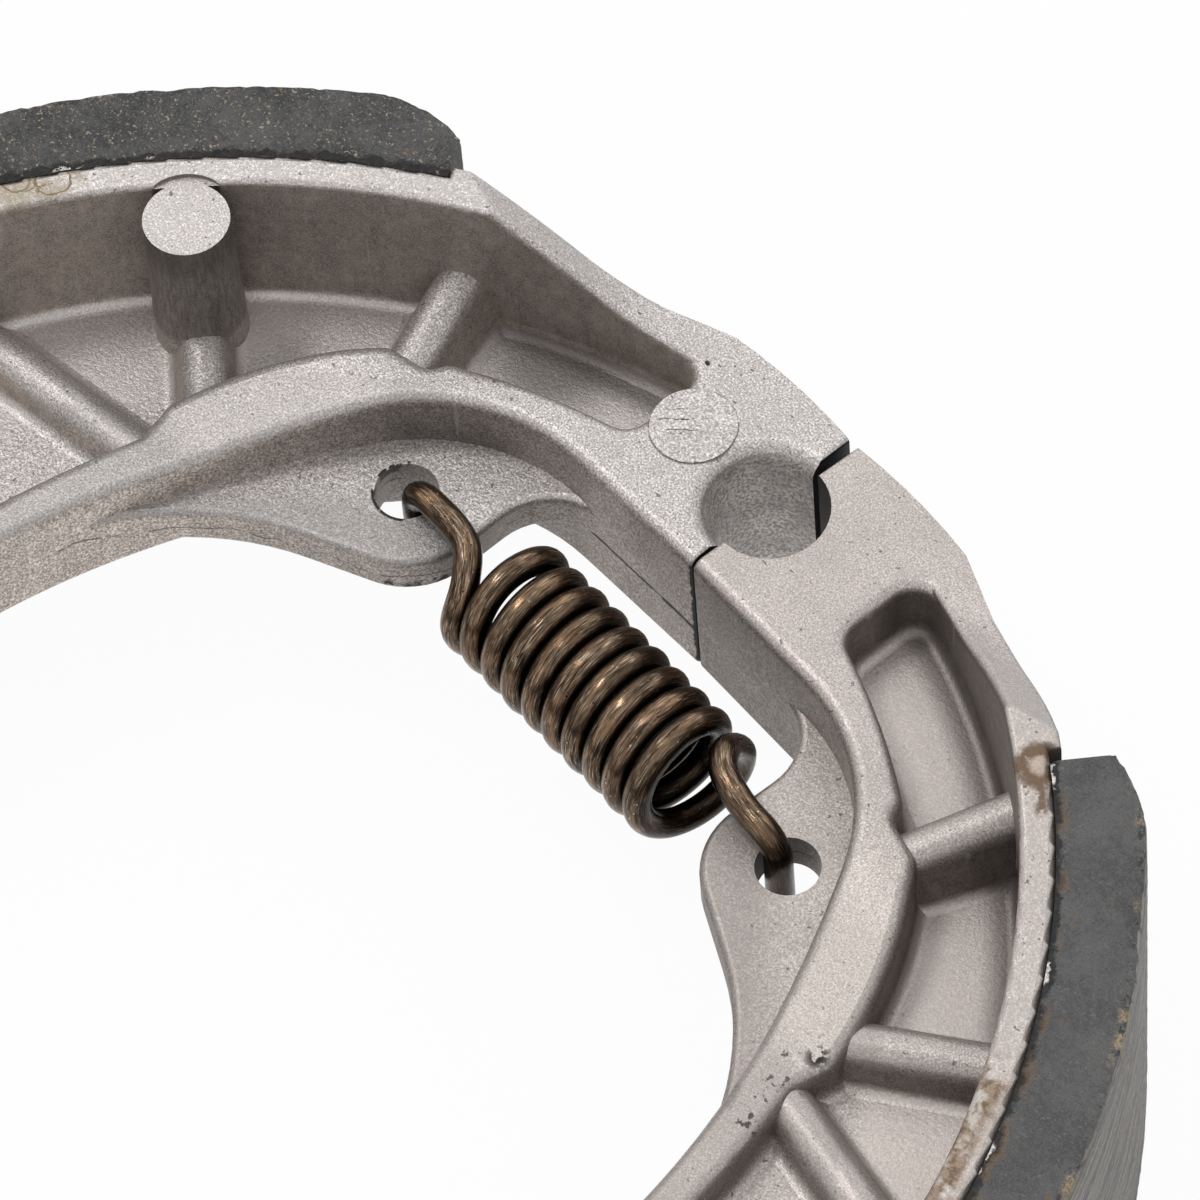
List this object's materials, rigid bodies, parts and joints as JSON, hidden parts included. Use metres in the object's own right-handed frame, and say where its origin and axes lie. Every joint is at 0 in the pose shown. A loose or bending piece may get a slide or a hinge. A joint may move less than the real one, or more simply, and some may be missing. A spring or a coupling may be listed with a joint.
{
  "type": "motorcycle drum brake shoe set",
  "caption": "Pair of cast brake shoes with bonded linings, drawn together by coil springs round an anchor pin seat, for a small wheel's drum brake.",
  "frame": {"origin": "centre of the brake drum on the shoes' mid-plane, with the shoes drawn together", "axes": "+Z along the wheel's axle, towards the face that shows in the picture; +Y from the drum's centre towards the anchor pin; +X towards the right shoe"},
  "size_m": [0.1062, 0.0998, 0.025],
  "materials": {
    "cast_aluminium": "sand-textured die casting, light warm grey, matt with a fine sparkle",
    "friction_material": "moulded friction compound, dark charcoal with pale and yellowish flecks, rough",
    "spring_wire": "oil-tempered bronze-brown wire, semi-gloss with drawn streaks"
  },
  "bodies": {
    "left_shoe": {"shoe_casting_left": "cast_aluminium", "friction_lining_left": "friction_material", "return_spring_anchor": "spring_wire", "return_spring_cam": "spring_wire"},
    "right_shoe": {"shoe_casting_right": "cast_aluminium", "friction_lining_right": "friction_material"}
  },
  "joints": [
    {"name": "shoe_opening", "type": "hinge", "parent": "left_shoe", "child": "right_shoe", "pos_m": [0, 0.0432, 0], "axis": [0, 0, 1], "range_deg": [0, 5], "stiffness_Nm_per_rad": 20, "springref_deg": -5.73, "deforming": ["return_spring_anchor", "return_spring_cam"]}
  ]
}
